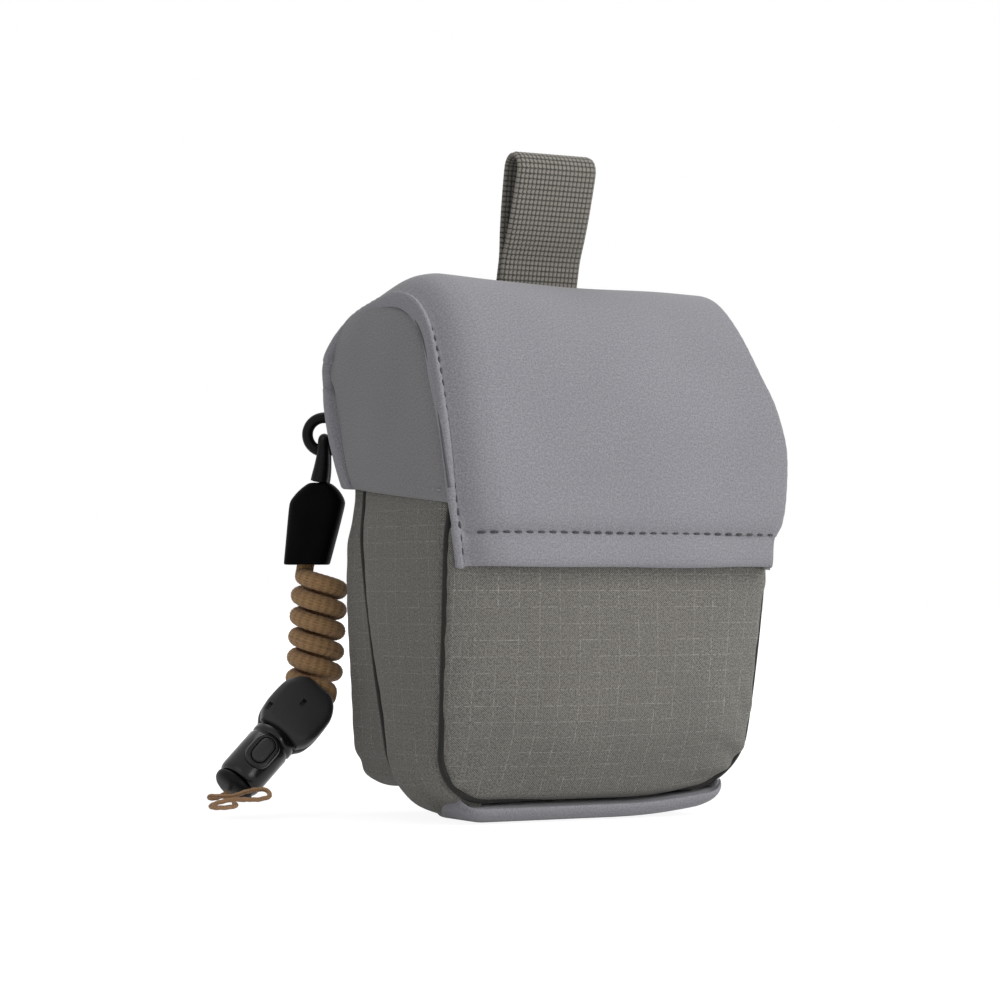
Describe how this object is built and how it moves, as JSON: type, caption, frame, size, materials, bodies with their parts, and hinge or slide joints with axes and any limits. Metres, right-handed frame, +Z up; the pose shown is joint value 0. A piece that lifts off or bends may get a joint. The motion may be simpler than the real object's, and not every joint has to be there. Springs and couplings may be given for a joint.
{
  "type": "rangefinder pouch",
  "caption": "Padded pouch with a domed flap lid hinged at the rear, ripstop body, webbing hanger, belt loop behind and a coiled lanyard with a push-button release.",
  "frame": {"origin": "on the floor under the middle of the base panel", "axes": "+X to the right of the front, +Y to the rear where the belt loop is, +Z up"},
  "size_m": [0.1451, 0.0903, 0.177],
  "materials": {
    "knit": "soft grey faced foam knit",
    "ripstop": "matte grey-olive ripstop weave",
    "webbing": "grey-olive basket weave",
    "foam": "closed-cell padding",
    "lining": "smooth lining cloth",
    "magnet": "plated disc",
    "black_plastic": "satin black",
    "black_cord": "braided",
    "charcoal_plastic": "satin charcoal",
    "brown_cord": "braided sleeve over a springy core",
    "tan_string": "twisted string"
  },
  "bodies": {
    "pouch": {"front_panel": "ripstop", "back_panel": "ripstop", "left_gusset": "ripstop", "right_gusset": "ripstop", "base_board": "foam", "base_panel": "knit", "front_foam": "foam", "back_foam": "foam", "left_foam": "foam", "right_foam": "foam", "liner_bag": "lining", "mouth_binding": "webbing", "body_magnet_left": "magnet", "body_magnet_right": "magnet", "upper_back_panel": "knit", "upper_back_pad": "foam", "hinge_fold": "knit", "belt_loop": "webbing", "anchor_ring": "black_plastic", "anchor_cord": "black_cord", "boot_bail": "black_plastic", "coil_boot": "black_plastic", "coil_cord": "brown_cord", "clamp_front": "charcoal_plastic", "clamp_rear": "charcoal_plastic", "release_socket": "black_plastic"},
    "lid": {"lid_panel": "knit", "lid_lip": "knit", "lid_foam": "foam", "lid_lining": "lining", "lid_left_welt": "knit", "lid_right_welt": "knit", "lid_left_cheek": "knit", "lid_right_cheek": "knit", "lid_magnet_left": "magnet", "lid_magnet_right": "magnet"},
    "hanger": {"webbing_loop": "webbing"},
    "button": {"release_button": "charcoal_plastic"},
    "plug": {"release_plug": "black_plastic", "release_string": "tan_string"}
  },
  "joints": [
    {"name": "lid_hinge", "type": "hinge", "parent": "pouch", "child": "lid", "pos_m": [0, 0.0433, 0.1154], "axis": [-1, 0, 0], "range_deg": [0, 140]},
    {"name": "hanger_fold", "type": "hinge", "parent": "lid", "child": "hanger", "pos_m": [0, 0.0154, 0.141], "axis": [1, 0, 0], "range_deg": [-60, 25]},
    {"name": "button_press", "type": "slide", "parent": "pouch", "child": "button", "axis": [0.1771, 0.9169, -0.3577], "range_m": [0, 0.0012], "stiffness_N_per_m": 300},
    {"name": "plug_pull", "type": "slide", "parent": "pouch", "child": "plug", "axis": [-0.7274, -0.1229, -0.6752], "range_m": [0, 0.0035]}
  ]
}
